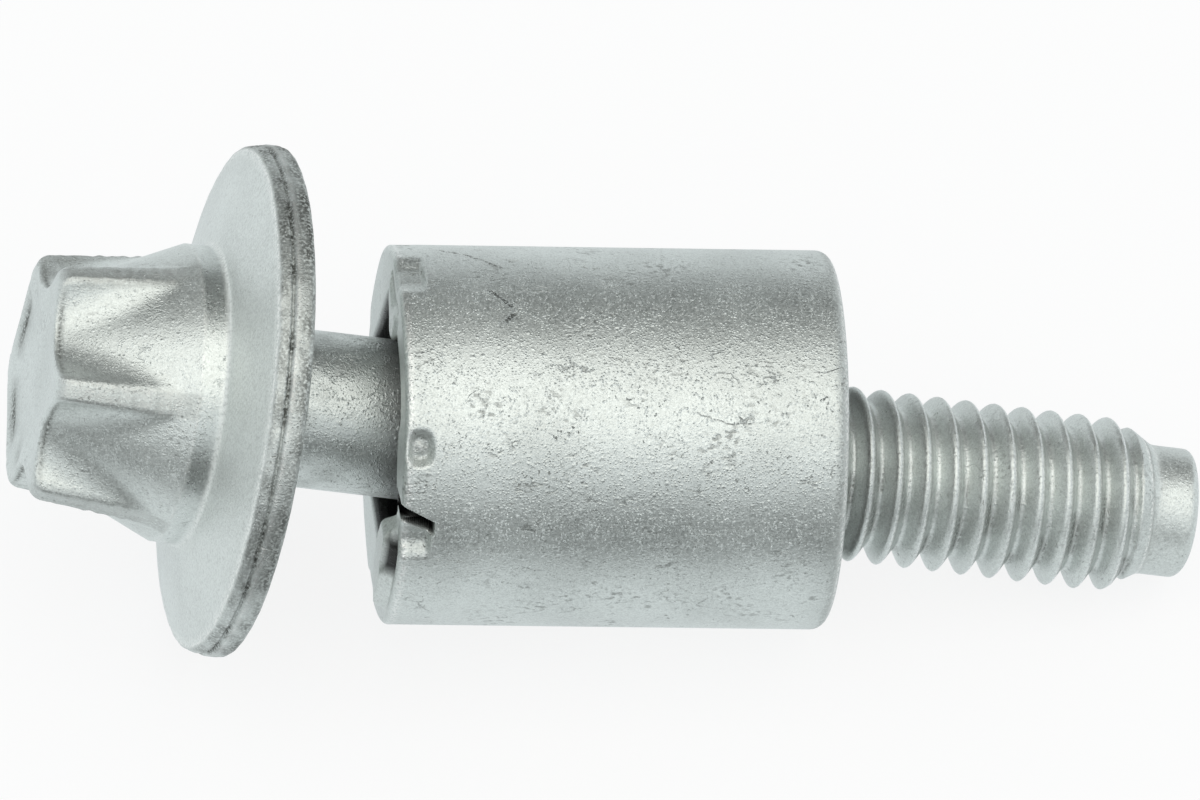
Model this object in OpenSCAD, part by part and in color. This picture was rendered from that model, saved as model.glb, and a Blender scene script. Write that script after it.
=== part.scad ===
// Valve cover bolt with a loose spacer sleeve on its shank.
// The part lies on the floor as it comes to rest: the flange rim and the last thread carry the bolt,
// and the sleeve hangs on the shank by its top stake and touches the floor with its far end.
// Lengths along the bolt are counted from the bearing face under the flange, towards the thread.

/* [Head and flange] */
// Height of the head above the front edge of the flange rim
head_h = 6.45; // [6:0.05:7]
// Size of the six-lobe head across its points
lobe_d = 9.42; // [9.2:0.02:9.6]
// Size of the six-lobe head across its valleys
valley_d = 6.8; // [6.6:0.05:7]
// Radius of one lobe's tip
lobe_tip_r = 0.62; // [0.55:0.01:0.75]
// Turn of the lobes about the bolt, in degrees
lobe_turn = 45; // [0:1:60]
// Rounding of the head's top edge
head_round = 0.4; // [0.2:0.05:0.6]
// Diameter of the round collar below the lobes
collar_d = 10.15; // [9.9:0.05:10.6]
// Diameter over the flange rim
flange_d = 17.5; // [16.8:0.1:18.4]
// Thickness of the flange at its rim
flange_t = 1.25; // [1.1:0.05:1.6]
// Rounding of the rim's rear edge
rim_round = 0.25; // [0.15:0.05:0.3]
// Depth of the fine line round the rim
rim_line = 0.07; // [0.03:0.01:0.12]

/* [Shank and thread] */
// Diameter of the plain shank
shank_d = 5.38; // [5.2:0.02:5.5]
// Fillet between the shank and the bearing face
shank_fillet = 0.35; // [0.2:0.05:0.6]
// Outside diameter of the M6 thread
thread_d = 5.95; // [5.9:0.01:6]
// Length over which the thread rises from the shank to full height
runout_l = 2.6; // [2:0.1:3.2]
// Pitch of the M6 thread
thread_pitch = 1; // [0.75:0.05:1]
// First full thread
thread_from = 20.45; // [20.2:0.05:22]
// Last full thread
thread_to = 30.6; // [29.8:0.1:31.2]
// Length of the cone from the thread to the dog point
lead_l = 0.7; // [0.4:0.05:0.9]
// Diameter of the dog point
dog_d = 4.42; // [4.1:0.02:4.7]
// Rounding of the dog point's end
dog_round = 0.4; // [0.2:0.05:0.6]
// Length of the bolt below its bearing face
under_head = 33; // [32.6:0.1:35]

/* [Sleeve] */
// Outside diameter of the sleeve
sleeve_d = 12.9; // [12.5:0.05:13.3]
// Wall thickness of the sleeve
sleeve_wall = 1.5; // [1.3:0.02:1.6]
// Length of the sleeve
sleeve_l = 15.2; // [14.6:0.1:15.6]
// Rounding of the outer corner at the sleeve's far end
end_round = 0.5; // [0.2:0.05:0.7]
// Chamfer of the outer corner at the staked mouth
mouth_chamfer = 0.4; // [0.2:0.05:0.6]
// Chamfer of the bore at both ends
bore_chamfer = 0.25; // [0.1:0.05:0.4]
// Rest place of the mouth's centre along the bolt
mouth_at = 4.74; // [4.2:0.02:5]

/* [Stakes] */
// Clear circle between the tips of the four deep stakes
stake_clear_d = 7.2; // [6.9:0.05:7.5]
// Clearance between the shank and the stake that hangs on it
stake_gap = 0.12; // [0.06:0.01:0.2]
// Turn of the first deep stake from straight up, in degrees
stake_turn = -15; // [-20:1:-10]
// Turn of the light punch marks from the deep stakes, in degrees
punch_turn = -31; // [-40:1:-25]
// Width of a stake's inner tongue at the bore
tongue_w = 3.4; // [2.8:0.1:4]
// Width of a stake's inner tongue at its tip
tongue_tip_w = 1.7; // [1.2:0.1:2.2]
// Length of a stake's inner tongue along the sleeve
tongue_l = 1.15; // [0.9:0.05:1.4]
// Width of a stake's outer pocket
pocket_w = 1.05; // [0.8:0.05:1.2]
// Length of a stake's outer pocket along the sleeve
pocket_l = 0.85; // [0.6:0.05:1]
// Depth of a deep stake's pocket
pocket_depth = 0.55; // [0.3:0.05:0.7]
// Depth of a light punch mark
punch_depth = 0.3; // [0.15:0.05:0.45]
// Distance of the pockets' middle from the mouth
pocket_at = 0.8; // [0.7:0.05:1]
// Width of the sheared slot beside one deep stake
slot_w = 0.3; // [0.2:0.05:0.4]
// Length of the sheared slot from the mouth
slot_l = 1.1; // [0.8:0.05:1.3]

/* [Hidden] */
$fn = 96;
steel = [0.66, 0.67, 0.68];
coat = [0.6, 0.62, 0.63];

lobe_count = 6;
stake_count = 4;
eps = 0.01;

flange_r = flange_d / 2;
collar_r = collar_d / 2;
shank_r = shank_d / 2;
thread_r = thread_d / 2;
thread_depth = 0.56 * thread_pitch;
crest_w = 0.15 * thread_pitch;
flank_w = thread_depth * tan(30);
thread_turns = floor((thread_to - thread_from - crest_w + eps) / thread_pitch);
dog_r = dog_d / 2;
sleeve_r = sleeve_d / 2;
bore_r = sleeve_r - sleeve_wall;
stake_r = stake_clear_d / 2;
head_top = -flange_t - head_h;

// Six-lobe outline: lobe arcs and valley arcs meet on one tangent
lobe_out = lobe_d / 2;
valley_in = valley_d / 2;
lobe_c = lobe_out - lobe_tip_r;
lobe_cos = cos(180 / lobe_count);
valley_r = (lobe_c * lobe_c + valley_in * valley_in - 2 * lobe_c * valley_in * lobe_cos
            - lobe_tip_r * lobe_tip_r) / (2 * (lobe_c * lobe_cos + lobe_tip_r - valley_in));
valley_c = valley_in + valley_r;
valley_x = valley_c * lobe_cos;
valley_y = valley_c * sin(180 / lobe_count);
lobe_sweep = atan2(valley_y, valley_x - lobe_c);

// Pitch of the bolt: the rim's rounded rear edge and the last full thread both touch the floor
rim_over = flange_r - rim_round - thread_r;
rim_run = thread_to + rim_round;
bolt_pitch = atan2(rim_over, rim_run) + asin(rim_round / norm([rim_over, rim_run]));
axis_z = thread_to * sin(bolt_pitch) + thread_r * cos(bolt_pitch);

// Pitch of the sleeve: its mouth hangs on the shank and its far corner touches the floor
hang = (stake_r - shank_r - stake_gap) / cos(stake_turn);
mouth_x = mouth_at * cos(bolt_pitch) - hang * sin(bolt_pitch);
mouth_z = axis_z - mouth_at * sin(bolt_pitch) - hang * cos(bolt_pitch);
corner_run = sleeve_l - end_round;
corner_r = sleeve_r - end_round;
floor_pitch = asin(min(1, (mouth_z - end_round) / norm([corner_run, corner_r])))
              - atan2(corner_r, corner_run);
thread_gap = 0.12;
bore_room = bore_r - bore_chamfer - thread_r / cos(10) - thread_gap + hang;
tilt_limit = asin(bore_room / sleeve_l);
sleeve_pitch = max(floor_pitch, bolt_pitch - tilt_limit);
sleeve_low = mouth_z - corner_run * sin(sleeve_pitch) - corner_r * cos(sleeve_pitch) - end_round;
floor_lift = max(0, -sleeve_low);

// Middle of the whole part along the floor
tail_x = under_head * cos(bolt_pitch) + (dog_r - dog_round) * sin(bolt_pitch);
nose_x = head_top * cos(bolt_pitch) - (lobe_out - head_round) * sin(bolt_pitch);
middle_x = (tail_x + nose_x) / 2;

// Dome between the lobes and the collar, as shares of the way out to the collar and of the head's height
dome = [[-0.24, 0.355], [0, 0.39], [0.33, 0.445], [0.57, 0.525], [0.77, 0.62], [0.94, 0.7], [1, 0.735]];

function arc(cx, cy, r, from, to, n) =
    [for (i = [0:n]) [cx + r * cos(from + (to - from) * i / n), cy + r * sin(from + (to - from) * i / n)]];

function turned(p, a) = [p[0] * cos(a) - p[1] * sin(a), p[0] * sin(a) + p[1] * cos(a)];

// Points of one lobe and of the valley after it; the ends they share are listed once
lobe_points = arc(lobe_c, 0, lobe_tip_r, -lobe_sweep, lobe_sweep, 8);
valley_points = arc(valley_x, valley_y, valley_r, 180 + lobe_sweep, 180 + 360 / lobe_count - lobe_sweep, 6);
sector_points = concat(lobe_points, [for (i = [1:5]) valley_points[i]]);

module six_lobe_outline() {
    polygon([for (i = [0:lobe_count - 1]) each [for (p = sector_points) turned(p, 360 / lobe_count * i)]]);
}

// The lobes, with a rounded top edge, as far down as the collar
module lobes() {
    foot = head_top + 0.8 * head_h;
    cap_r = lobe_out + 0.05;
    intersection() {
        translate([0, 0, head_top - 1])
            linear_extrude(foot - head_top + 1)
                six_lobe_outline();
        rotate_extrude()
            polygon(concat(
                [[0, foot + 1], [0, head_top]],
                arc(cap_r - head_round, head_top + head_round, head_round, -90, 0, 6),
                [[cap_r, foot + 1]]));
    }
}

// One turn of the thread as a ring: the land of its crest, then the groove after it
function thread_turn(from) = [
    [thread_r, from],
    [thread_r, from + crest_w],
    [thread_r - thread_depth, from + crest_w + flank_w],
    [thread_r - thread_depth, from + thread_pitch - flank_w]];

// Everything round: the dome under the lobes, the collar, flange, shank, thread and dog point
module turned_body() {
    rim_top = -flange_t;
    line_at = rim_top + 0.42;
    rotate_extrude()
        polygon(concat(
            [[0, head_top + 0.34 * head_h]],
            [for (p = dome) [valley_in + p[0] * (collar_r - valley_in), head_top + p[1] * head_h]],
            arc(collar_r + 0.45, rim_top - 0.66, 0.45, 180, 90, 5),
            [[flange_r - 0.35, rim_top - 0.04],
             [flange_r - 0.2, rim_top],
             [flange_r - 0.05, rim_top + 0.1],
             [flange_r, rim_top + 0.25],
             [flange_r, line_at - rim_line],
             [flange_r - rim_line, line_at],
             [flange_r, line_at + rim_line]],
            arc(flange_r - rim_round, -rim_round, rim_round, 0, 90, 5),
            arc(shank_r + shank_fillet, shank_fillet, shank_fillet, -90, -180, 5),
            [[shank_r, thread_from - runout_l]],
            [for (i = [0:thread_turns - 1]) each thread_turn(thread_from + thread_pitch * i)],
            [[thread_r, thread_from + thread_pitch * thread_turns],
             [thread_r, thread_to],
             [dog_r, thread_to + lead_l]],
            arc(dog_r - dog_round, under_head - dog_round, dog_round, 0, 90, 5),
            [[0, under_head]]));
}

module bolt() {
    color(steel)
        translate([-middle_x, 0, axis_z + floor_lift])
            rotate([0, bolt_pitch + 90, 0])
                union() {
                    turned_body();
                    rotate(180 + lobe_turn)
                        lobes();
                }
}

// Turn a feature to an angle counted from straight up, towards -Y
module at_turn(angle) {
    rotate(180 + angle)
        children();
}

module tube() {
    rotate_extrude()
        polygon(concat(
            [[bore_r + bore_chamfer, 0],
             [sleeve_r - mouth_chamfer, 0],
             [sleeve_r, mouth_chamfer]],
            arc(sleeve_r - end_round, sleeve_l - end_round, end_round, 0, 90, 6),
            [[bore_r + bore_chamfer, sleeve_l],
             [bore_r, sleeve_l - bore_chamfer],
             [bore_r, bore_chamfer]]));
}

// A tongue of wall pushed in towards the shank by a deep stake
module tongue() {
    root = bore_r + 0.5;
    translate([0, 0, bore_chamfer])
        linear_extrude(tongue_l)
            polygon([[root, -tongue_w / 2],
                     [root, tongue_w / 2],
                     [stake_r, tongue_tip_w / 2],
                     [stake_r, -tongue_tip_w / 2]]);
}

module pocket(depth) {
    translate([sleeve_r - depth, -pocket_w / 2, pocket_at - pocket_l / 2])
        cube([depth + 1, pocket_w, pocket_l]);
}

module sheared_slot() {
    translate([bore_r - 1, pocket_w / 2, -eps])
        cube([sleeve_r - bore_r + 2, slot_w, slot_l]);
}

module sleeve() {
    color(coat)
        translate([mouth_x - middle_x, 0, mouth_z + floor_lift])
            rotate([0, sleeve_pitch + 90, 0])
                difference() {
                    union() {
                        tube();
                        for (i = [0:stake_count - 1])
                            at_turn(stake_turn + 90 * i)
                                tongue();
                    }
                    for (i = [0:stake_count - 1])
                        at_turn(stake_turn + 90 * i)
                            pocket(pocket_depth);
                    for (i = [0:stake_count - 1])
                        at_turn(stake_turn + punch_turn + 90 * i)
                            pocket(punch_depth);
                    at_turn(stake_turn + 90)
                        mirror([0, 1, 0])
                            sheared_slot();
                }
}

bolt();
sleeve();
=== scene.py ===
# %% [markdown]
# # A valve cover bolt with its loose sleeve
#
# The real part is a steel bolt with a six-lobe head, a wide flange, a plain shank and an M6 thread.
# A short tube, the sleeve, hangs loose on the shank, and its mouth is punched in all round.
# Both pieces wear the same matt, silver-grey zinc flake coat.
# The solids give the sizes and the places. This lesson works out a finer skin for each of the two pieces
# with numpy, and then makes the coat from shader nodes.

import functools
import math

import bpy
import numpy as np
from mathutils import Matrix, Vector


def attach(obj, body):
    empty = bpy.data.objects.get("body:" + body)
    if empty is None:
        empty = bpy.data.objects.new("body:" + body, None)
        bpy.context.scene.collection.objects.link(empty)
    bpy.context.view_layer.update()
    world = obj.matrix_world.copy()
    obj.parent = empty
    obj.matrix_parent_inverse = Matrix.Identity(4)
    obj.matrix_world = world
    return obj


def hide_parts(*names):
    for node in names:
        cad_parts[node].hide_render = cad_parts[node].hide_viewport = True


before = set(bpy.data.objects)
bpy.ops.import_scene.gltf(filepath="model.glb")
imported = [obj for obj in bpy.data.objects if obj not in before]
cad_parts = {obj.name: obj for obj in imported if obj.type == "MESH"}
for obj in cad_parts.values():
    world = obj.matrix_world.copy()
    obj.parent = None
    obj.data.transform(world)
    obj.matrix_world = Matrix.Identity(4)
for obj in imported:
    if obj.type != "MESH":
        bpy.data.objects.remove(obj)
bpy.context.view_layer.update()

# %% [markdown]
# ## Two lines to build along
#
# The bolt lies on its flange and its last thread, so its axis slopes.
# The sleeve hangs on the shank at a slope of its own.
# Points could be made upright and turned afterwards, but a finished piece has to sit unturned at the origin.
# So each piece keeps a line: a start, a way along it, an up side and a front side, and every point is put
# straight into its place from a length, a radius and a turn.

# %% The lines of the bolt and of the sleeve
MM, METRE = 0.001, 1000  # a millimetre in metres, and a metre in millimetres


def round_line(start, pitch):
    """Axes of a turned piece: along is (cos p, 0, -sin p), up is square to it, and front is the -Y side."""
    p = math.radians(pitch)
    along = np.array([math.cos(p), 0.0, -math.sin(p)])
    up = np.array([math.sin(p), 0.0, math.cos(p)])
    return np.array(start), along, up, np.array([0.0, -1.0, 0.0])


# Starts in mm and slopes in degrees, as the solids have them.
BOLT_LINE = round_line((-12.203532616549, 0.0, 8.558626563969), 10.610637677975)
SLEEVE_LINE = round_line((-7.695178236914, 0.0, 6.881948553255), 1.693975731569)


def on_line(line, length, radius, turn):
    """start + length * along + radius * (cos turn * up + sin turn * front), from mm to metres."""
    start, along, up, front = line
    length, radius, turn = np.broadcast_arrays(length, radius, turn)
    side = np.cos(turn)[..., None] * up + np.sin(turn)[..., None] * front
    return (start + length[..., None] * along + radius[..., None] * side) * MM


print("bolt starts at", BOLT_LINE[0].round(3), "and the sleeve at", SLEEVE_LINE[0].round(3))

# %% [markdown]
# ## From a grid to a closed skin
#
# A turned piece is a grid: rows along its profile, columns round its axis.
# Blender could spin a profile, but a spun profile can't hold lobes, a helix or punch marks.
# Here the whole grid is one array, so any of these is one formula added to it.
# Each point may also carry marks, numbers from 0 to 1 that later tell the coat where it is worn or dirty and where
# shade and highlights are painted.


# %% The skin maker
def skin(name, node, points, marks, ring=False):
    """Joins rows i, i+1 and columns j, j+1 into four-sided faces; the columns come round to the first again.

    On a ring the rows come round too. Otherwise the first and the last row close on a pole at their mean.
    The sum of the corners' triple products is six times the volume, and its sign says if the faces point out.
    """
    rows, cols = points.shape[:2]
    i, j = np.meshgrid(np.arange(rows if ring else rows - 1), np.arange(cols), indexing="ij")
    below, beside = (i + 1) % rows, (j + 1) % cols
    quads = np.stack([i * cols + j, below * cols + j, below * cols + beside, i * cols + beside], -1)
    quads = quads.reshape(-1, 4)
    spots = points.reshape(-1, 3)
    caps = np.zeros((0, 3), int)
    if not ring:
        k, k2 = np.arange(cols), (np.arange(cols) + 1) % cols
        first, last = np.full(cols, rows * cols), np.full(cols, rows * cols + 1)
        end = (rows - 1) * cols
        caps = np.concatenate([np.stack([first, k, k2], -1), np.stack([end + k, last, end + k2], -1)])
        spots = np.concatenate([spots, points[[0, -1]].mean(1)])
    halves = np.concatenate([quads[:, :3], quads[:, [0, 2, 3]], caps])
    a, b, c = (spots[halves[:, n]] for n in range(3))
    volume = np.einsum("ij,ij->i", a, np.cross(b, c)).sum() / 6
    if volume < 0:
        quads, caps = quads[:, ::-1], caps[:, ::-1]
    mesh = bpy.data.meshes.new(name)
    mesh.from_pydata(spots.tolist(), [], quads.tolist() + caps.tolist())
    mesh.polygons.foreach_set("use_smooth", np.ones(len(mesh.polygons), bool))
    for mark, amount in marks.items():
        amount = np.broadcast_to(amount, (rows, cols))
        poles = np.zeros(0) if ring else amount[[0, -1]].mean(1)
        flat = np.concatenate([amount.reshape(-1), poles]).astype(np.float32)
        mesh.attributes.new(mark, "FLOAT", "POINT").data.foreach_set("value", flat)
    mesh.update()
    piece = bpy.data.objects.new(name, mesh)
    bpy.context.scene.collection.objects.link(piece)
    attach(piece, node)
    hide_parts(node)
    print(name, len(halves), "triangles,", round(abs(volume) * 1e9, 1), "mm3")
    return piece


# %% [markdown]
# ## Small shaping tools
#
# Pressed and rolled steel has few hard corners. Two surfaces meet in a small round, so instead of
# taking the larger of two radii, which leaves a knife edge, a rounded maximum is taken.


# %% Rounded maximum and minimum, hills and steps
def round_max(a, b, width):
    """(a + b + sqrt((a - b)^2 + width^2)) / 2: the larger one, rounded where they meet."""
    return (a + b + np.sqrt((a - b) ** 2 + width**2)) / 2


def round_min(a, b, width):
    """The same with the root taken away: the smaller one, rounded where they meet."""
    return (a + b - np.sqrt((a - b) ** 2 + width**2)) / 2


def hill(x, centre, width):
    """exp(-((x - centre) / width)^2): 1 at the centre, and nothing two or three widths away."""
    return np.exp(-(((x - centre) / width) ** 2))


def ease(x, start, end):
    """3 u^2 - 2 u^3 with u going from 0 at start to 1 at end: a step with round shoulders."""
    u = np.clip((x - start) / (end - start), 0, 1)
    return u * u * (3 - 2 * u)


def joined(*stretches):
    """Lengths and radii of several stretches of a profile, one after the other."""
    return np.concatenate([s[0] for s in stretches]), np.concatenate([s[1] for s in stretches])


def straight(length_a, radius_a, length_b, radius_b, count):
    """Evenly spaced points of a line, without its last one."""
    share = np.arange(count) / count
    return length_a + (length_b - length_a) * share, radius_a + (radius_b - radius_a) * share


print("round_max(1, 1, 0.2) =", round_max(1, 1, 0.2))

# %% [markdown]
# ## The six-lobe head
#
# The head is cold forged: six narrow ridges stand on a cone, and wide scoops lie between them.
# The punch left some draft, so the ridges spread a little towards the flange and the scoops get shallower.
# From above, a scoop is an arc of a large circle whose centre lies outside the head; the ridge cuts it off.
# Where the cone grows past a scoop, the scoop runs out in a V.
# That V is what the rounded maximum of scoop and cone gives, with no cutting.

# %% The scoops, the ridges and the cone below them
COLUMNS = 216
turn = np.linspace(0, 2 * math.pi, COLUMNS, endpoint=False)[None, :]
HEAD_TOP, COLLAR_AT, COLLAR_R = -7.7, 4.74, 5.075  # mm: the top, the collar's edge below it, the collar
LOBE_STEP, RIDGE_AT = 60, 47  # degrees
past_ridge = (np.degrees(turn) - RIDGE_AT + LOBE_STEP / 2) % LOBE_STEP - LOBE_STEP / 2
from_ridge = np.radians(np.abs(past_ridge))
RIDGE_R, SCOOP_CENTRE, SCOOP_R, SCOOP_DEEP = 4.71, 6.114, 2.714, 1.31  # mm, as seen from above
RIDGE_TOP_R, DRAFT = 4.388, 0.106  # the ridge at the top, and what it gains with each mm below
TOP_DEPTH, SCOOP_LONG = 1.4, 4.9  # mm: how deep a scoop is at the top, and how far down it reaches
CONE_SLOPE = 0.45


def scoop_share(away):
    """0 on a ridge, 1 in a scoop's middle: (ridge - r) / deep, where r is the scoop's circle cut off at the ridge.

    At an angle b from the scoop's middle the circle is centre cos b - sqrt(radius^2 - (centre sin b)^2).
    """
    b = math.radians(LOBE_STEP / 2) - away
    circle = SCOOP_CENTRE * np.cos(b) - np.sqrt(np.maximum(SCOOP_R**2 - (SCOOP_CENTRE * np.sin(b)) ** 2, 0))
    return (RIDGE_R - round_min(circle, RIDGE_R, 0.06)) / SCOOP_DEEP


def head_side(below_top, share):
    """Ridge radius at the top plus draft times z, less the scoop's share of a depth that falls evenly to 0."""
    return RIDGE_TOP_R + DRAFT * below_top - TOP_DEPTH * (1 - below_top / SCOOP_LONG) * share


def cone(below_top):
    """Collar radius less the slope times the height above the collar's edge."""
    return COLLAR_R - CONE_SLOPE * np.maximum(COLLAR_AT - below_top, 0)


scooped = scoop_share(from_ridge)
edge_round = 0.13 + 0.42 * (1 - scooped) ** 2  # mm: sharp over a scoop, round on a ridge
top_edge = head_side(edge_round, scooped)
print("top of the head is", top_edge.min().round(3), "to", top_edge.max().round(3), "mm from its axis")

# %% [markdown]
# The top of the head is a shallow dish. Its edge is well rounded on the ridges and sharp over the scoops.
# On the far side the punch drew a thin burr across the scoops, which nearly fills them at the very top.
# Rows near each crease lie close together. Smooth shading then turns the crease within a tenth of a millimetre,
# which reads as a crisp edge without splitting the surface.

# %% Rows of the head, from the middle of its top to the collar
SEEN_SIDE = 42  # degrees of turn from the up side to the side that faces front and up
BURR_R, EDGE_END = 4.4, 0.6  # mm: the burr's reach on a ridge, and the depth by which every edge is round
burr_side = ease(-np.cos(np.radians(SEEN_SIDE) - turn), 0.1, 0.5)
half_lobe = math.radians(LOBE_STEP / 2)
span = BURR_R * math.cos(half_lobe) / np.cos(half_lobe - from_ridge)
burr = burr_side * 0.8 * np.maximum(span - top_edge, 0)
share = np.array([0.08, 0.2, 0.32, 0.44, 0.56, 0.66, 0.74, 0.8, 0.85, 0.89, 0.93, 0.965, 1.0])[:, None]
top_r = share * (top_edge + burr - edge_round)
dip = 0.13 * burr_side * scooped * hill(share, 0.86, 0.09)
top_t = HEAD_TOP + 0.10 * (1 - ease(share, 0.6, 0.95)) + dip
angle = np.radians(np.linspace(12, 90, 8))[:, None]
edge_r = top_edge + burr - edge_round * (1 - np.sin(angle))
edge_t = HEAD_TOP + edge_round * (1 - np.cos(angle))
under_edge = edge_round + (EDGE_END - edge_round) * np.array([0.12, 0.3, 0.5, 0.75])[:, None]
side_rows = [EDGE_END, 0.68, 0.8, 1.0, 1.3, 1.6, 1.8, *np.linspace(1.95, 4.66, 44), 4.70, 4.73]
below = np.concatenate([under_edge, np.array(side_rows)[:, None] + 0.0 * turn])
lumps = 0.014 * (np.sin(9.1 * below + 5 * turn) + np.sin(14.3 * below - 11 * turn + 1.3))
lumps = lumps * ease(scooped, 0.14, 0.02) * ease(below, 0.5, 1.1) * ease(below, 4.6, 3.6)
side_r = round_max(head_side(below, scooped) + lumps + burr * ease(below, 0.8, 0.6), cone(below), 0.05)
side_t = HEAD_TOP + below
head_t = np.concatenate([top_t, edge_t, side_t])
head_r = np.concatenate([top_r, edge_r, side_r])
print("head rows:", len(head_t))

# %% [markdown]
# ## Collar, flange and shank
#
# Below the dome the head is plainly turned: a short straight collar, a tight fillet, a flange face that rises
# a little towards its rim, the rim with a fine pressed line round it, the bearing face and the shank.
# These rows are the same all round, so a plain profile of lengths and radii is enough.
# The rim gets a few small nicks, because it is the edge that meets other bolts in the bin.

# %% Rows from the collar to the end of the shank
RIM_TOP, FLANGE_R, RIM_ROUND = -1.25, 8.75, 0.25  # mm
FILLET, UNDER_FILLET, SHANK_R, SHANK_END = 0.25, 0.35, 2.69, 17.9  # mm
quarter = np.radians(np.linspace(0, 90, 7))
bend = np.radians(np.linspace(0, 77, 9))
fillet_t, fillet_r = HEAD_TOP + 5.42 + FILLET * np.sin(bend), COLLAR_R + FILLET * (1 - np.cos(bend))
rim_line = RIM_TOP + 0.46
turned_t, turned_r = joined(
    straight(HEAD_TOP + 4.75, COLLAR_R, HEAD_TOP + 5.4, COLLAR_R, 6),
    (fillet_t, fillet_r),
    straight(fillet_t[-1] + 0.03, fillet_r[-1] + 0.1, RIM_TOP - 0.03, 8.38, 12),
    (RIM_TOP + np.array([-0.03, -0.01, 0.02, 0.07, 0.14, 0.24, 0.33]),
     np.array([8.42, 8.48, 8.54, 8.59, 8.63, 8.66, 8.685])),
    (rim_line + np.array([-0.08, -0.04, 0, 0.04, 0.09, 0.16, 0.29, 0.42]),
     np.array([8.68, 8.64, 8.6, 8.64, 8.71, 8.745, FLANGE_R, FLANGE_R])),
    (-RIM_ROUND + RIM_ROUND * np.sin(quarter), FLANGE_R - RIM_ROUND + RIM_ROUND * np.cos(quarter)),
    straight(0.0, 8.4, 0.0, 3.1, 10),
    (UNDER_FILLET - UNDER_FILLET * np.cos(quarter), SHANK_R + UNDER_FILLET - UNDER_FILLET * np.sin(quarter)),
    straight(0.5, SHANK_R, SHANK_END, SHANK_R, 26),
)
turned_t = turned_t[:, None] + 0.0 * turn
turned_r = turned_r[:, None] + 0.0 * turn
on_rim = ease(turned_r, 8.3, 8.5)
turned_r = turned_r - on_rim * 0.02 * (1 + np.sin(17 * turn + 1) * np.sin(31 * turn))
nicks = (  # turn and half width in radians, depth and place behind the face in mm
    (0.35, 0.035, 0.1, 0.2),
    (0.82, 0.02, 0.07, 0.35),
    (1.32, 0.03, 0.09, 0.5),
    (1.9, 0.05, 0.06, 0.7),
    (3.4, 0.03, 0.1, 0.4),
)
for at, wide, deep, behind in nicks:
    around = np.angle(np.exp(1j * (turn - at)))
    turned_r = turned_r - on_rim * deep * hill(around, 0, wide) * hill(turned_t, RIM_TOP + behind, 0.25)
print("turned rows:", len(turned_t), "up to", turned_r.max().round(3), "mm")

# %% [markdown]
# ## The rolled thread
#
# An M6 thread rises one millimetre a turn. On the grid that is one formula: the distance from the nearest crest,
# counted along the bolt after taking away the share of a turn, decides the radius.
# The flanks stand at 60 degrees to each other. Rolling rounds the crests and the roots, so rounded maxima are
# used here too.
# The thread grows out of the shank over a few turns, and a cone trims it before the short plain point.

# %% Rows of the thread and of the plain point
THREAD_R, ROOT_R, DOG_R, DOG_ROUND = 3.0, 2.42, 2.21, 0.4  # mm
PITCH, CREST_AT, ROWS_A_TURN = 1.0, 0.09, 18


def past_crest(length):
    """Length less the share of a turn, wrapped to half a pitch each way: the distance past the nearest crest."""
    return (length + CREST_AT - PITCH * turn / (2 * math.pi) + PITCH / 2) % PITCH - PITCH / 2


def thread_form(length):
    """Crest radius less sqrt(3) times the distance beyond the crest's half width, held between root and crest."""
    flank = THREAD_R + 0.02 - math.sqrt(3) * (np.abs(past_crest(length)) - 0.075)
    return round_max(round_min(flank, THREAD_R, 0.15), ROOT_R, 0.08)


thread_t = np.arange(18.0, 31.5, PITCH / ROWS_A_TURN)[:, None] + 0.0 * turn
grown = ease(thread_t, 18.1, 20.9)
thread_r = SHANK_R + grown * (thread_form(thread_t) - SHANK_R)
lead_cone = 2.97 - (thread_t - 30.15) * 0.62
trimmed = round_max(round_min(thread_r, lead_cone, 0.06), DOG_R, 0.05)
thread_r = np.where(thread_t > 29.2, trimmed, thread_r)
dog_angle = np.radians(np.linspace(8, 90, 9))[:, None]
uneven = 0.05 * np.sin(turn + 0.6) + 0.03 * np.sin(2 * turn + 2.0)
dog_t = np.concatenate([
    np.linspace(31.55, 32.55, 8)[:, None] + 0.0 * turn,
    33.0 - DOG_ROUND + DOG_ROUND * np.sin(dog_angle) + 0.0 * turn,
    np.full((5, COLUMNS), 33.0),
])
dog_r = np.concatenate([
    np.full((8, COLUMNS), DOG_R),
    DOG_R - DOG_ROUND + DOG_ROUND * np.cos(dog_angle) + 0.0 * turn,
    (DOG_R - DOG_ROUND) * np.array([0.92, 0.8, 0.6, 0.35, 0.12])[:, None] + 0.0 * turn,
])
dog_t = dog_t - (0.08 + uneven) * ease(dog_t, 32.2, 33.0)
print("thread rows:", len(thread_t), "point rows:", len(dog_t))
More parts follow.
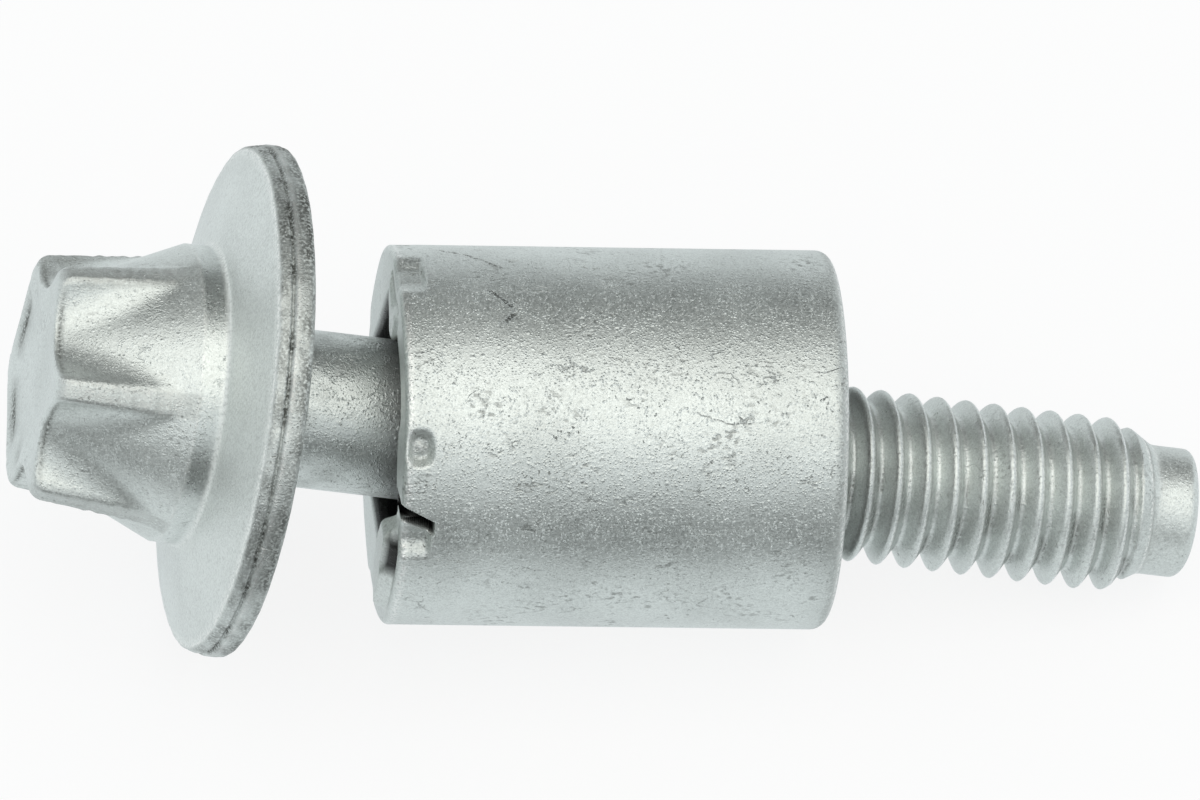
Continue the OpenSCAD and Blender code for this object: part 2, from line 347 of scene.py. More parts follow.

# %% [markdown]
# ## Marks on the bolt, and the bolt itself
#
# The coat isn't the same all over: the rim is dirty and nicked and has painted shade in its pressed line and on its
# upper side, edges, ridges and thread crests carry painted highlights along with some real wear, the creases of the
# head and the thread's roots on the lower side carry painted shade, and the shank is grainier than the flange face.
# Each is a number from 0 to 1 at every point.
# Two more marks say where the coat lies smooth, as on the turned collar, and where it is hidden from the light,
# as in the sleeve's bore. An image could hold all this, but a formula stays sharp and needs no file.

# %% Where the bolt is dirty, and where shade is painted on it
bolt_t = np.concatenate([head_t, turned_t, thread_t, dog_t])
bolt_r = np.concatenate([head_r, turned_r, thread_r, dog_r])
in_head = bolt_t < HEAD_TOP + COLLAR_AT + 0.02
in_thread = ease(bolt_t, 18.6, 20.6) * ease(bolt_t, 31.6, 31.1)
after_crest = past_crest(bolt_t)
lower_side = ease(np.cos(turn - math.radians(78)), 0.5, 0.9)
blotch = ease(np.sin(3 * turn + 1.7 * bolt_t) + np.sin(7 * turn - 4.3 * bolt_t + 2), -0.6, 0.9)
rim_band = ease(bolt_r, 8.35, 8.6) * ease(bolt_t, RIM_TOP - 0.05, RIM_TOP + 0.05) * ease(bolt_t, 0.05, -0.05)
in_groove = hill(bolt_t, rim_line, 0.09)
rim_waves = np.sin(23 * turn + 4 * bolt_t) + np.sin(41 * turn - 7 * bolt_t + 1) + np.sin(9 * turn + 2)
rim_blotch = ease(rim_waves, -1.2, 1.4)
upper_rim = ease(np.cos(turn + math.radians(35)), 0.3, 0.95)
on_collar = ~in_head * ease(bolt_t, HEAD_TOP + 5.6, HEAD_TOP + 5.4) * ease(bolt_r, 5.2, 5.1)
crease = in_head * hill(scooped, 0.12, 0.09) * ease(bolt_t, HEAD_TOP + 0.4, HEAD_TOP + 0.8)
crease = crease * ease(bolt_t, HEAD_TOP + 4.4, HEAD_TOP + 3.6)
over_scoop = hill(bolt_t, HEAD_TOP + 0.2, 0.08) * ease(bolt_r, 2.6, 3.0) * scooped * in_head
on_shank = ease(bolt_t, 0.1, 0.4) * ease(bolt_t, 20.6, 18.6)
soil = ease(np.sin(5 * turn + 2.3 * bolt_t) + np.sin(8 * turn - 5.1 * bolt_t + 1), 0.2, 1.6)
# Real dirt on the rim and blotches on the shank, with painted shade in the rim's pressed line, on its upper side, in
# the head's creases and in the thread's roots.
dirt_and_shade = (
    rim_band * rim_blotch * (0.36 + 0.4 * in_groove)
    # The rim darker all round, with painted shade on its upper side and in its pressed line, and darker towards the
    # bearing face.
    + rim_band * (0.2 + 0.25 * upper_rim + 0.2 * in_groove + 0.25 * hill(bolt_t, -0.2, 0.15))
    + 0.25 * on_shank * soil
    # Painted shade just under the top edge over each scoop, and on the top face by the far burr.
    + 0.9 * over_scoop
    + 0.6 * in_head * hill(bolt_t, HEAD_TOP + 0.12, 0.1) * burr_side * scooped * hill(bolt_r, 2.9, 0.5)
    # Darker on the outer faces of the ridges.
    + 0.3 * in_head * ease(scooped, 0.08, 0.0) * ease(bolt_r, 4.0, 4.3)
    # Painted shade in the creases between ridges and scoops, heavier on one side of each ridge.
    + crease * (0.15 + 0.6 * (past_ridge > 0))
    # Painted shade in blotches in the thread's roots on the lower side, and in a thin line just past each crest.
    + 0.8 * in_thread * lower_side * blotch * (hill(after_crest, 0.36, 0.15) + hill(after_crest, -0.5, 0.08))
    + 0.5 * in_thread * hill(after_crest, 0.17, 0.05)
)
print("dirt on the bolt: mean", dirt_and_shade.mean().round(3))

# %% Where it is worn and has painted highlights, where it is grainy, and the bolt itself
on_ridge = in_head * ease(scooped, 0.06, 0.0) * ease(bolt_r, 4.0, 4.3)
# Painted highlights with some real wear: lines on the rim's front edge, beside the pressed line, at the collar's edge
# and in the fillet, along the ridges, and glints past each thread crest and in the roots.
wear_and_glint = (
    0.8 * hill(bolt_r, 8.46, 0.06) * hill(bolt_t, RIM_TOP, 0.12)
    + 0.45 * rim_band * hill(bolt_t, rim_line + 0.16, 0.07)
    + 0.35 * hill(bolt_t, HEAD_TOP + COLLAR_AT, 0.05)
    + 0.35 * hill(bolt_t, fillet_t[5], 0.07) * hill(bolt_r, fillet_r[5], 0.08)
    + 0.2 * on_ridge * ease(bolt_t, HEAD_TOP + 4.4, HEAD_TOP + 4.0)
    + in_thread * (hill(after_crest, 0.10, 0.045) + 0.7 * hill(after_crest, 0.45, 0.035))
)
grain = (
    0.75 * in_head
    + on_collar
    + 0.36 * ease(bolt_r, 5.2, 5.5) * ease(bolt_t, RIM_TOP, RIM_TOP - 0.1)
    + 0.9 * rim_band
    + on_shank
    + 0.8 * in_thread
    + 0.7 * ease(bolt_t, 31.3, 31.6)
)
bolt_points = on_line(BOLT_LINE, bolt_t, bolt_r, turn)
bolt_marks = {
    "dirt_and_shade": np.clip(dirt_and_shade, 0, 1),
    "wear_and_glint": np.clip(wear_and_glint, 0, 1),
    "grain": np.clip(grain, 0, 1),
    "smooth": 0.7 * on_collar,
    "hidden": 0.0,
}
bolt = skin("bolt_skin", "bolt", bolt_points, bolt_marks)

# %% [markdown]
# ## The sleeve's tube
#
# The sleeve is a tube 15 mm long with rounded ends. Its profile is a closed loop: outside, far end, bore and mouth.
# Carried round the axis, the loop makes a ring with no poles.
# Near the mouth the rows and the columns lie closer, because all the punch marks are there.
# The turn is counted from the side that faces front and up, which is where the marks were read off.

# %% The loop of the sleeve, and its columns
seen = np.concatenate([np.linspace(-82, 96, 509, endpoint=False), np.linspace(96, 278, 130, endpoint=False)])
seen = seen[None, :]
seen_turn = np.radians(SEEN_SIDE - seen)
OUT_R, BORE_R, LONG = 6.45, 4.95, 15.2  # mm
LIP, FAR_ROUND, FAR_BEVEL = 0.22, 0.5, 0.25  # mm
FINE_TO = 1.7  # mm from the mouth with close rows
lip = np.radians(np.linspace(0, 90, 9))
far = np.radians(np.linspace(0, 90, 8))
outside = joined(
    (LIP - LIP * np.cos(lip), OUT_R - LIP + LIP * np.sin(lip)),
    straight(LIP + 0.03, OUT_R, FINE_TO, OUT_R, 36),
    straight(FINE_TO, OUT_R, LONG - FAR_ROUND, OUT_R, 18),
    (LONG - FAR_ROUND + FAR_ROUND * np.sin(far), OUT_R - FAR_ROUND + FAR_ROUND * np.cos(far)),
)
inside = joined(
    straight(LONG, 5.85, LONG, 5.25, 3),
    straight(LONG, BORE_R + FAR_BEVEL, LONG - FAR_BEVEL, BORE_R, 2),
    straight(LONG - FAR_BEVEL, BORE_R, 1.8, BORE_R, 12),
    straight(1.8, BORE_R, 0.14, BORE_R, 22),
    straight(0.1, BORE_R + 0.02, 0.0, BORE_R + 0.12, 3),
)
mouth = straight(0.0, BORE_R + 0.14, 0.0, OUT_R - LIP - 0.02, 26)
loop_s, loop_r = joined(outside, inside, mouth)
is_out = (np.arange(len(loop_s)) < len(outside[0]))[:, None]
is_mouth = (np.arange(len(loop_s)) >= len(outside[0]) + len(inside[0]))[:, None]
loop_s, loop_r = loop_s[:, None] + 0 * seen, loop_r[:, None] + 0 * seen
through = np.clip((loop_r - BORE_R) / (OUT_R - BORE_R), 0, 1)
print("sleeve rows:", loop_s.shape[0], "columns:", loop_s.shape[1])

# %% [markdown]
# ## The staked mouth
#
# A punch has struck the sleeve's mouth all round. Each deep stroke left a pocket outside
# and pushed a tongue of the wall inwards, one stroke sheared the wall open, and lighter strokes left square dents.
# The tongues are given as the radius of the bore's edge against the turn, and they fade a little way into the bore.
# Whole strokes could be cut with solids, but the real metal flowed, so pushing the points is closer to it.

# %% How far the mouth's inner edge was pushed in
FRONT_END = 69.4  # degrees: beyond it the tongues are straight chords
edge_at = [-82, -76, -70, -62, -50, -42, -36, -31, -28.5, -26, -22]
edge_at += [-18, -8, 0, 6, 30, 42, 47, 52, 57, FRONT_END]
edge_r_at = [4.95, 4.85, 4.55, 4.3, 4.1, 4.35, 4.7, 5.05, 5.2, 5.0, 4.5]
edge_r_at += [4.2, 4.05, 4.15, 4.85, 4.95, 4.9, 4.3, 4.0, 3.98, 5.25]
front_edge = np.interp(seen, edge_at, edge_r_at)
chord = 4.25 / np.maximum(np.cos(np.radians(seen - 108.6)), 0.3)
chord_low = 3.75 / np.maximum(np.cos(np.radians(seen - 237)), 0.3)
bore_edge = np.where(seen > FRONT_END, np.minimum(BORE_R, chord), front_edge)
bore_edge = np.where((seen > FRONT_END) & (seen < 80), chord, bore_edge)
bore_edge = np.where(seen > 150, np.minimum(bore_edge, chord_low), bore_edge)
tongue_in = BORE_R - bore_edge
tongue_fade = 1 - ease(loop_s, 0.45, 1.7)
push_in = (1 - through) ** 1.4 * tongue_in * tongue_fade
print("bore's edge comes in to", bore_edge.min().round(2), "mm")

# %% [markdown]
# The pockets are pressed into the outside. Each is a flat-bottomed dent: the product of a step in and a step out,
# across and along. The square dent has a small peak left in its middle, where the steel was drawn up again.

# %% Pockets, the square dent and the sheared slot
def dent(across, left, right, soft_across, along, start, end, soft_along):
    """1 inside the four edges, 0 outside, with shoulders as wide as the softness."""
    wide = ease(across, left - soft_across, left + soft_across)
    wide = wide * ease(across, right + soft_across, right - soft_across)
    deep = ease(along, start - soft_along, start + soft_along)
    deep = deep * ease(along, end + soft_along, end - soft_along)
    return wide * deep


def square_dent(turned_by, wide, at, long):
    """A rounded square bowl: 1 where the cube root of |across|^3 + |along|^3 is below 0.5, 0 above 1.2."""
    away = (np.abs((seen - turned_by) / wide) ** 3 + np.abs((loop_s - at) / long) ** 3) ** (1 / 3)
    return ease(away, 1.2, 0.5)


pocket_a = dent(seen, 52, 66, 4.0, loop_s, -1, 0.93, 0.12)
pocket_b = square_dent(-3.8, 5.3, 0.57, 0.45)
tip_b = hill(seen, -3.4, 1.4) * hill(loop_s + 0.03 * seen, 0.42, 0.12)
pocket_c = dent(seen, -37.5, -29.5, 3.2, loop_s, -1, 1.02, 0.15)
pocket_far = dent(seen, 139, 155, 3, loop_s, -1, 0.95, 0.1) + dent(seen, 229, 245, 3, loop_s, -1, 0.95, 0.1)
dents_far = square_dent(177, 5.0, 0.66, 0.42) + square_dent(266, 5.0, 0.66, 0.42)
dent_top = 0.7 * square_dent(88, 4.5, 0.5, 0.4)
slot_middle = -24.3 - 4.6 * np.clip(loop_s, 0, 1.1)
slot = ease(np.abs(seen - slot_middle), 2.6, 1.5) * ease(loop_s, 1.2, 1.05)
press = (
    0.24 * pocket_a
    + 0.26 * pocket_b * (1 - 0.06 * (seen + 3))
    - 0.05 * tip_b * pocket_b
    + 0.38 * pocket_c
    + 0.36 * pocket_far
    + 0.25 * dents_far
    + 0.2 * dent_top
)
swell = 0.015 * (hill(seen, 3.6, 1.5) + hill(seen, -11.2, 1.5)) * hill(loop_s, 0.6, 0.4)
swell = swell + 0.02 * hill(loop_s, 1.18, 0.1) * (hill(seen, 59, 8) + hill(seen, -3, 5))
print("deepest pocket", press.max().round(2), "mm")

# %% [markdown]
# The mouth's end is not flat either: the lower tongue stands proud and has a hollow where it folded, the lip is
# a little wavy, and the sheared slot opens through it. These move the points along the axis or take them in
# towards the bore.

# %% The sleeve
tongue_low = dent(seen, -78, -35, 4, loop_r, 0, 6.02, 0.1)
tongue_up = dent(seen, 45, 69, 3, loop_r, 0, 5.72, 0.1)
proud = (0.46 * tongue_low + 0.12 * tongue_up) * (is_mouth | (loop_s < 0.2))
hollow = dent(loop_r, 5.86, 6.14, 0.05, seen, -52, -37, 3) * is_mouth
lap = hill(loop_r, 5.86, 0.06) * dent(seen, 46, 68, 4, loop_r, 0, 9, 1) * is_mouth
wave = 0.015 * np.sin(np.radians(3 * seen + 40)) + 0.01 * np.sin(np.radians(7 * seen))
sleeve_s = loop_s - proud + 0.25 * hollow + 0.1 * lap + wave * (1 - ease(loop_s, 0, 0.8))
sleeve_s = sleeve_s + 0.05 * (1 - ease(loop_s, 0, 2.0)) + 0.8 * slot * is_mouth
sleeve_r = loop_r - push_in - press * through * (loop_s < 2) + swell * is_out
sleeve_r = sleeve_r - 1.15 * slot * is_out
sleeve_r = np.maximum(sleeve_r, np.where(is_out, 3.9, 0))
in_bore = ~is_out & ~is_mouth
out_of_light = 0.95 * in_bore * ease(loop_s, -0.02, 0.12) * ease(loop_s, LONG - 0.1, LONG - 0.8)
out_of_light = out_of_light + ease(slot, 0.02, 0.4) * ~in_bore + hollow
# Painted shade in the fold of the upper tongue and inside pockets A, B and C, and the outside darker near the far
# end.
sleeve_dirt_and_shade = (
    0.6 * lap
    + 0.5 * is_out * hill(loop_s, LONG - 0.15, 0.25)
    + is_out * (0.36 * pocket_b + 0.25 * pocket_c + 0.12 * pocket_a)
)
# Painted highlights with some real wear: the small peak in the square dent, a band round the outer lip of the mouth,
# a line beside pocket C and the far end's outer edge.
sleeve_wear_and_glint = (
    0.7 * tip_b * pocket_b * is_out
    + 0.6 * hill(loop_s, 0.2, 0.12) * is_out * (1 - pocket_a)
    + 0.3 * hill(seen, -39.5, 0.9) * hill(loop_s, 0.7, 0.5) * is_out
    + 0.8 * is_out * hill(loop_s, LONG - 0.1, 0.1)
)
sleeve_points = on_line(SLEEVE_LINE, sleeve_s, sleeve_r, seen_turn)
sleeve_marks = {
    "dirt_and_shade": np.clip(sleeve_dirt_and_shade, 0, 1),
    "wear_and_glint": np.clip(sleeve_wear_and_glint, 0, 1),
    "grain": np.where(is_mouth, 0.4, 1.0),
    "smooth": 0.0,
    "hidden": np.clip(out_of_light, 0, 1),
}
sleeve = skin("sleeve_skin", "sleeve", sleeve_points, sleeve_marks, ring=True)

# %% [markdown]
# ## The zinc flake coat
#
# The coat is a cured layer of tiny zinc and aluminium flakes: a matt, slightly greenish silver that sparkles, with an
# orange-peel grain about a tenth of a millimetre across. Dirt and wear gather in the places that the marks name, and
# the same marks paint shade into creases and recesses and highlights onto edges and crests.
# Nodes can be set up one by one, but the maths is easier to follow as expressions. A small class
# wraps a socket and adds a Math node for each operator, and one method makes every other kind of node.


# %% A number on the surface
class Amount:
    """A number that changes over the surface. An operator adds a Math node, also after a plain number."""

    def __init__(self, coat, socket):
        self.coat, self.socket = coat, socket

    def math(self, operation, first, second):
        node = self.coat.node("ShaderNodeMath", {"operation": operation}, {0: first, 1: second})
        return Amount(self.coat, node.outputs[0])

    def __add__(self, other):
        return self.math("ADD", self, other)

    def __sub__(self, other):
        return self.math("SUBTRACT", self, other)

    def __rsub__(self, other):
        return self.math("SUBTRACT", other, self)

    def __mul__(self, other):
        return self.math("MULTIPLY", self, other)

    __radd__ = __add__
    __rmul__ = __mul__

    def larger(self, other):
        return self.math("MAXIMUM", self, other)

    def above(self, low, high):
        """0 below low, 1 above high, and a rise with round shoulders between them."""
        limits = {"Value": self, "From Min": low, "From Max": high}
        node = self.coat.node("ShaderNodeMapRange", {"interpolation_type": "SMOOTHSTEP"}, limits)
        return Amount(self.coat, node.outputs[0])


print("an Amount takes + - * and a plain number on either side")


# %% The coat's nodes
class Coat:
    """The nodes of a material or of the world. node() takes a type, settings, and the sockets' values or links."""

    def __init__(self, owner):
        owner.use_nodes = True
        self.owner, self.tree = owner, owner.node_tree
        self.tree.nodes.clear()

    @functools.cached_property
    def place(self):
        """Object coordinates, which stay with the piece wherever it moves."""
        return self.node("ShaderNodeTexCoord", {}, {}).outputs["Object"]

    def node(self, kind, settings, sockets):
        made = self.tree.nodes.new(kind)
        for key, value in settings.items():
            setattr(made, key, value)
        for key, value in sockets.items():
            value = value.socket if isinstance(value, Amount) else value
            if isinstance(value, bpy.types.NodeSocket):
                self.tree.links.new(value, made.inputs[key])
            else:
                made.inputs[key].default_value = value
        return made

    def scaled(self, per_mm, stretch=(1, 1, 1), turned=0.0):
        """The place with so many steps a millimetre, stretched and turned about Y where asked."""
        scale = [METRE * per_mm * part for part in stretch]
        sockets = {"Vector": self.place, "Scale": scale, "Rotation": (0, turned, 0)}
        return self.node("ShaderNodeMapping", {}, sockets).outputs[0]

    def noise(self, per_mm, detail=2.0, stretch=(1, 1, 1), turned=0.0):
        """Soft noise with so many features a millimetre."""
        sockets = {"Vector": self.scaled(per_mm, stretch, turned), "Scale": 1.0, "Detail": detail}
        return Amount(self, self.node("ShaderNodeTexNoise", {}, sockets).outputs[0])

    def cells(self, per_mm):
        """Cells round scattered points, so many a millimetre."""
        return self.node("ShaderNodeTexVoronoi", {}, {"Vector": self.scaled(per_mm), "Scale": 1.0})

    def flakes(self, per_mm):
        """One even number a cell: each flake of the coat lies at its own angle."""
        split = self.node("ShaderNodeSeparateColor", {}, {0: self.cells(per_mm).outputs["Color"]})
        return Amount(self, split.outputs[0])

    def blobs(self, per_mm):
        """Round bumps: 1 in the middle of each cell, falling to 0 at half a cell's width."""
        return 1 - Amount(self, self.cells(per_mm).outputs["Distance"]).above(0.0, 0.5)

    def dot(self, way):
        """The distance along a way, in mm: the dot product of the place and the way, times 1000."""
        sockets = {0: self.place, 1: [METRE * part for part in way]}
        made = self.node("ShaderNodeVectorMath", {"operation": "DOT_PRODUCT"}, sockets)
        return Amount(self, made.outputs["Value"])

    def crack(self, first, last, outwards, width, wander):
        """1 near the plane that holds both ends and the outward way, between the ends, on the outside only."""
        way = last - first
        far = np.linalg.norm(way)
        long = METRE * far
        square = np.cross(way, outwards)
        square = square / np.linalg.norm(square)
        beside = self.dot(square) - METRE * float(first @ square) + wander * 0.3
        gone = self.dot(way / far) - METRE * float(first @ way) / far
        height = self.dot(outwards) - METRE * float(first @ outwards)
        near = 1 - (beside * beside).above(0.2 * width**2, width**2)
        between = gone.above(-0.1, 0.3) * (1 - gone.above(long - 0.4, long + 0.1))
        return near * between * height.above(-1.5, -1.0)

    def mark(self, name):
        """A mark that the skin carries at each point."""
        made = self.node("ShaderNodeAttribute", {"attribute_name": name}, {})
        return Amount(self, made.outputs["Fac"])

    def mix(self, share, first, second):
        """A colour that goes from the first to the second with the share."""
        made = self.node("ShaderNodeMix", {"data_type": "RGBA"}, {0: share, 6: first, 7: second})
        return made.outputs[2]


print("coat tools ready")

# %% [markdown]
# The two pieces take the same coat from one recipe. It is layered: the flake tone first, then smudges, specks and
# hairlines, then dirt together with painted shade in the marked places, then the worn edges together with painted
# highlights, and last a near-black painted shade where the marks say light doesn't reach. The same numbers that
# darken a speck also sink it, through one Bump node. The numbers after each noise are the levels between which it
# counts, so a higher pair leaves fewer spots.

# %% The coat's recipe
SILVER, SHADOW = (0.725, 0.765, 0.745, 1), (0.385, 0.41, 0.395, 1)
# The darker of the two colours below is for dirt and for painted shade, the brighter one for wear and for painted
# highlights.
GRIME_AND_SHADE, BRIGHT = (0.10, 0.105, 0.095, 1), (0.88, 0.89, 0.87, 1)
UNLIT = (0.02, 0.02, 0.018, 1)


def flake_coat(name, peel, depth, soiled, rough_from, metal_from, metal_more, cracks=()):
    """Tone, specks, smudges, hairlines, dirt with painted shade, and wear with painted highlights as shares from 0 to
    1, and a bump from the same shares.
    """
    coat = Coat(bpy.data.materials.new(name))
    dirt_and_shade, wear_and_glint, grain = coat.mark("dirt_and_shade"), coat.mark("wear_and_glint"), coat.mark("grain")
    smooth, hidden = coat.mark("smooth"), coat.mark("hidden")
    peel_noise = coat.noise(peel, 3.0)
    fine = coat.noise(peel * 2.4, 3.0)
    flake = coat.flakes(16)
    cloud = coat.noise(0.3, 3.0)
    uneven = coat.noise(10.0, 3.0)
    patch, patches = coat.noise(0.6, 4.0), coat.noise(3.5, 2.0)
    rough_skin = (grain * 0.9 + 0.1) * (1 - smooth * 0.6)
    specks = rough_skin * coat.noise(7.5, 3.0).above(0.63, 0.72) * coat.noise(1.1, 2.0).above(0.42, 0.66)
    smudge = rough_skin * patch.above(0.49, 0.67) * coat.noise(6.0, 3.0, (0.7, 1, 1), 0.3).above(0.50, 0.68)
    wander = coat.noise(0.8, 3.0, (0.5, 1, 1), 0.2) - 0.5
    thin = (1 - (wander * wander).above(0.0, 0.00012)) * coat.noise(0.7, 1.0).above(0.56, 0.66)
    hairline = rough_skin * thin * uneven.above(0.35, 0.55)
    broken = patches * 0.4 + uneven * 0.6
    for first, last, outwards, width in cracks:
        crack = coat.crack(first, last, outwards, width, fine - 0.5 + wander)
        hairline = hairline + crack * broken.above(0.44, 0.52) * 1.7
    tone = flake * 0.4 + fine.above(0.3, 0.7) * 0.34 + cloud.above(0.35, 0.65) * 0.26
    tone = 0.86 - grain * 0.16 + (tone - 0.5) * (grain * 0.2 + 0.7) + (uneven - 0.5) * (1.4 - grain * 1.3)
    colour = coat.mix(tone, SHADOW, SILVER)
    colour = coat.mix(smudge * (0.56 * soiled), colour, GRIME_AND_SHADE)
    colour = coat.mix(specks * 0.6, colour, GRIME_AND_SHADE)
    colour = coat.mix((hairline * (0.45 * soiled)).above(0.0, 1.0), colour, GRIME_AND_SHADE)
    # Dirt, and painted shade in the creases, grooves, pockets and thread roots that the marks name.
    colour = coat.mix(dirt_and_shade * uneven.above(0.30, 0.60), colour, GRIME_AND_SHADE)
    # Wear, and painted highlights on the edges and thread crests that the marks name.
    bright_wear_and_glint = wear_and_glint * uneven.above(0.43, 0.56)
    colour = coat.mix(bright_wear_and_glint, colour, BRIGHT)
    colour = coat.mix(hidden, colour, UNLIT)
    bumpy = coat.noise(2.6, 2.0).above(0.34, 0.70) * 0.24 + 0.12
    large = coat.blobs(peel * 0.65) * patches.above(0.46, 0.66) * 0.36
    coarse = coat.blobs(peel * 1.4) * bumpy + large + peel_noise * 0.16 + fine * 0.1 + flake * 0.08
    height = coarse * (grain * 0.7 + 0.3) * (1 - smooth * 0.8)
    height = height - specks * 0.5 - smudge * 0.2 - hairline * 0.4 - dirt_and_shade * uneven * 0.5
    bump = coat.node("ShaderNodeBump", {}, {"Strength": 1.0, "Distance": depth * MM, "Height": height})
    rough = rough_from + flake * 0.10 + dirt_and_shade * 0.22 + specks * 0.2 - bright_wear_and_glint * 0.06 - smooth * 0.1
    metal = metal_from + grain * metal_more
    finish = {"Base Color": colour, "Metallic": metal, "Roughness": rough, "Normal": bump.outputs[0]}
    shader = coat.node("ShaderNodeBsdfPrincipled", {}, finish)
    coat.node("ShaderNodeOutputMaterial", {}, {"Surface": shader.outputs[0]})
    print(name, "has", len(coat.tree.nodes), "nodes")
    return coat.owner


# %% [markdown]
# Two cracks in the sleeve's coat are longer than the random hairlines, so they get places of their own. One bends,
# so it is two straight runs. A plane through both ends of a run and the outward way cuts the tube along it.
# The bolt's coat is finer and cleaner than the sleeve's, and its flange face is less metallic.

# %% The two coats
runs = (  # mm from the mouth and degrees of turn at each end, and half the width in mm
    (1.65, 77, 3.85, 61, 0.065),
    (2.95, 51, 3.95, 41, 0.11),
    (4.0, 41.5, 3.4, 35, 0.13),
)
cracks = []
for length_a, seen_a, length_b, seen_b, width in runs:
    a = on_line(SLEEVE_LINE, length_a, OUT_R, math.radians(SEEN_SIDE - seen_a))
    b = on_line(SLEEVE_LINE, length_b, OUT_R, math.radians(SEEN_SIDE - seen_b))
    axis = on_line(SLEEVE_LINE, (length_a + length_b) / 2, 0.0, 0.0)
    outwards = (a + b) / 2 - axis
    cracks.append((a, b, outwards / np.linalg.norm(outwards), width))
bolt_coat = flake_coat(
    "bolt_zinc_flake", peel=9.0, depth=0.040, soiled=0.7, rough_from=0.34, metal_from=0.35, metal_more=0.5
)
sleeve_coat = flake_coat(
    "sleeve_zinc_flake", peel=7.5, depth=0.054, soiled=1.0, rough_from=0.36, metal_from=0.5, metal_more=0.3,
    cracks=cracks,
)
bolt.data.materials.append(bolt_coat)
sleeve.data.materials.append(sleeve_coat)

# %% [markdown]
# ## Floor, light and camera
#
# The photograph shows a part on white, lit by one large soft light overhead.
# The floor is a plain pale plane. Camera rays see it partly as plain white, so the background stays white and still
# keeps the part's soft shadow. Two dark flags, as photographers use them, stand before and behind the part where only
# its reflections see them. Without them silvery metal on white has no shape.

# %% The floor and the flags
def plane(name, centre, across, upwards):
    """A rectangle: centre +- across +- upwards."""
    c, a, u = (np.array(v, float) for v in (centre, across, upwards))
    mesh = bpy.data.meshes.new(name)
    corners = np.array([c - a - u, c + a - u, c + a + u, c - a + u])
    mesh.from_pydata(corners.tolist(), [], [(0, 1, 2, 3)])
    made = bpy.data.objects.new(name, mesh)
    bpy.context.scene.collection.objects.link(made)
    return made


floor = plane("floor", (0, 0, 0), (4, 0, 0), (0, 4, 0))
floor_look = Coat(bpy.data.materials.new("floor_white"))
seen_by = floor_look.node("ShaderNodeLightPath", {}, {})
matt = floor_look.node("ShaderNodeBsdfDiffuse", {}, {"Color": (0.86, 0.87, 0.88, 1)})
glossy, clear = (Amount(floor_look, seen_by.outputs[f"Is {ray} Ray"]) for ray in ("Glossy", "Transmission"))
mirrored = glossy.larger(clear)
camera_share = Amount(floor_look, seen_by.outputs["Is Camera Ray"]) * 0.85 + mirrored
glow_colour = floor_look.mix(mirrored, (1, 1, 1, 1), (0.93, 0.98, 1, 1))
glow = floor_look.node("ShaderNodeEmission", {}, {"Color": glow_colour, "Strength": 1.0})
both = floor_look.node("ShaderNodeMixShader", {}, {0: camera_share, 1: matt.outputs[0], 2: glow.outputs[0]})
floor_look.node("ShaderNodeOutputMaterial", {}, {"Surface": both.outputs[0]})
floor.data.materials.append(floor_look.owner)

flag_look = Coat(bpy.data.materials.new("flag_dark"))
flag_matt = flag_look.node("ShaderNodeEmission", {}, {"Color": (0.03, 0.035, 0.035, 1), "Strength": 1.0})
flag_look.node("ShaderNodeOutputMaterial", {}, {"Surface": flag_matt.outputs[0]})
flags = [
    plane("flag_front", (0, -0.184, 0.029), (0.4, 0, 0), (0, -0.166, 0.028)),
    plane("flag_back", (0, 0.294, 0.37), (0.5, 0, 0), (0, -0.134, 0.22)),
]
for flag in flags:
    flag.data.materials.append(flag_look.owner)
    flag.visible_camera = flag.visible_diffuse = flag.visible_shadow = False
    flag.visible_transmission = flag.visible_volume_scatter = False
print("stage:", floor.name, [flag.name for flag in flags])

# %% [markdown]
# The lamp is a large rectangle overhead, a little warm, and the world fills the shadows with a cool white.
# The world is dimmer as a lamp than as a background: what looks at it straight or in a mirror sees full white.

# %% The soft light and the world
LAMP_WATTS, WORLD_LEVEL = 1.42, 0.78
lamp_data = bpy.data.lights.new("overhead", "AREA")
lamp_data.shape, lamp_data.size, lamp_data.size_y = "RECTANGLE", 0.9, 0.62
lamp_data.energy, lamp_data.color = LAMP_WATTS, (1.0, 0.925, 0.80)
lamp = bpy.data.objects.new("overhead", lamp_data)
lamp.location = (0.0, -0.17, 0.55)
lamp.rotation_euler = (-Vector(lamp.location)).to_track_quat("-Z", "Y").to_euler()
lamp.visible_camera = False
bpy.context.scene.collection.objects.link(lamp)

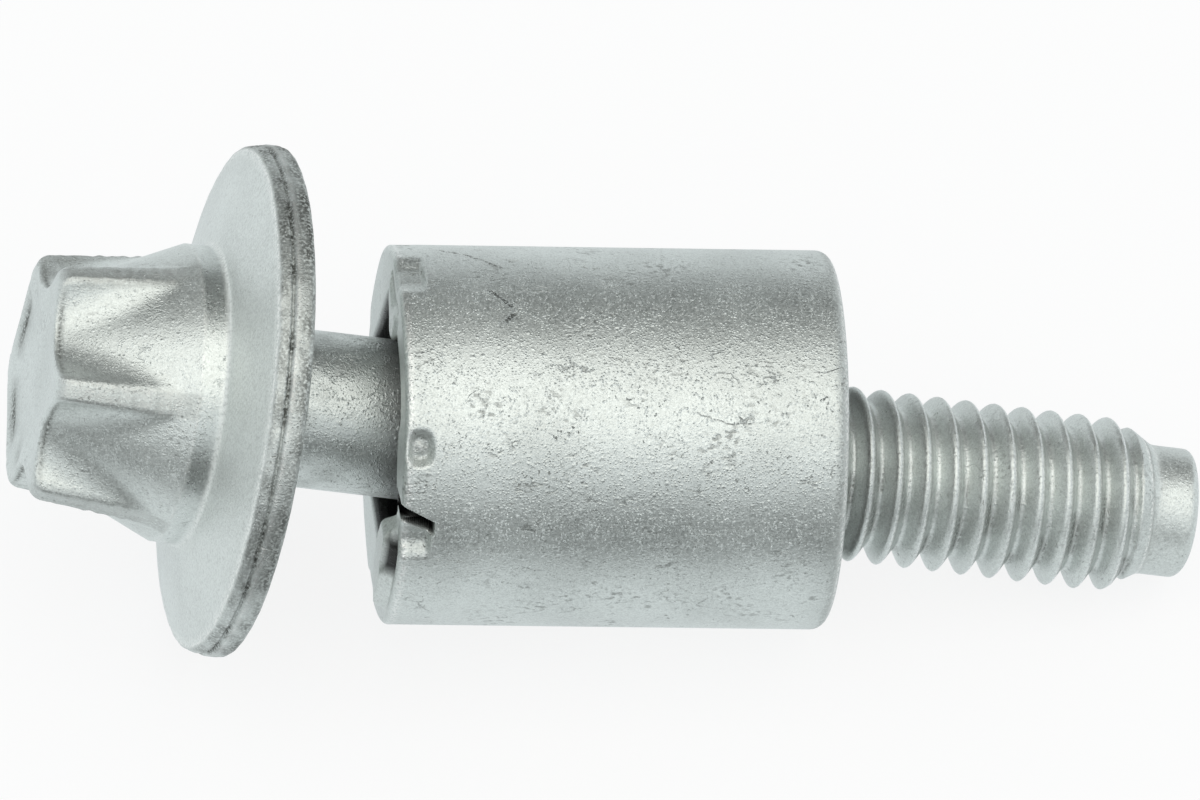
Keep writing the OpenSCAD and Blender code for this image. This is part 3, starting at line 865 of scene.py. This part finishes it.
world = bpy.data.worlds.new("white_room")
bpy.context.scene.world = world
room = Coat(world)
path = room.node("ShaderNodeLightPath", {}, {})
looking, glossy, clear = (Amount(room, path.outputs[f"Is {ray} Ray"]) for ray in ("Camera", "Glossy", "Transmission"))
strength = looking.larger(glossy).larger(clear) * (1 - WORLD_LEVEL) + WORLD_LEVEL
sky = room.node("ShaderNodeBackground", {}, {"Color": (0.93, 0.975, 1, 1), "Strength": strength})
room.node("ShaderNodeOutputWorld", {}, {"Surface": sky.outputs[0]})
bpy.context.scene.view_settings.view_transform = "Standard"
print("lamp", LAMP_WATTS, "W; world", WORLD_LEVEL, "and 1 where it is seen")

# %% [markdown]
# The camera stands well back with a long lens, a little to the left of the front and about 48 degrees up, and is
# rolled by six degrees. It was fitted to the rim, the sleeve's two ends and the tip in the photograph.

# %% The camera
FOCAL_PIXELS, IMAGE_WIDE, SENSOR, STAND_BACK = 22816, 1200, 36.0, 776  # pixels twice, then mm twice
azimuth, elevation, roll = (math.radians(v) for v in (-8.54, 48.0, 5.99))
right = np.array([math.cos(azimuth), math.sin(azimuth), 0.0])
level_back = np.array([math.sin(azimuth), -math.cos(azimuth), 0.0])
back = math.cos(elevation) * level_back + np.array([0.0, 0.0, math.sin(elevation)])
upright = np.cross(back, right)
cam_x = right * math.cos(roll) + upright * math.sin(roll)
cam_y = -right * math.sin(roll) + upright * math.cos(roll)
target = np.array([0, 0, 6.0]) - 0.2 * cam_x + 1.7 * cam_y
lens = bpy.data.cameras.new("camera")
lens.sensor_fit, lens.sensor_width, lens.lens = "HORIZONTAL", SENSOR, FOCAL_PIXELS / IMAGE_WIDE * SENSOR
lens.clip_start, lens.clip_end = 0.01, 20.0
camera = bpy.data.objects.new("camera", lens)
spot = (target + back * STAND_BACK) * MM
stand = np.eye(4)
stand[:3] = np.stack([cam_x, cam_y, back, spot], 1)
camera.matrix_world = Matrix(stand.tolist())
bpy.context.scene.collection.objects.link(camera)
bpy.context.scene.camera = camera
print("camera at", (spot * METRE).round(1).tolist(), "mm, lens", round(lens.lens, 1), "mm")
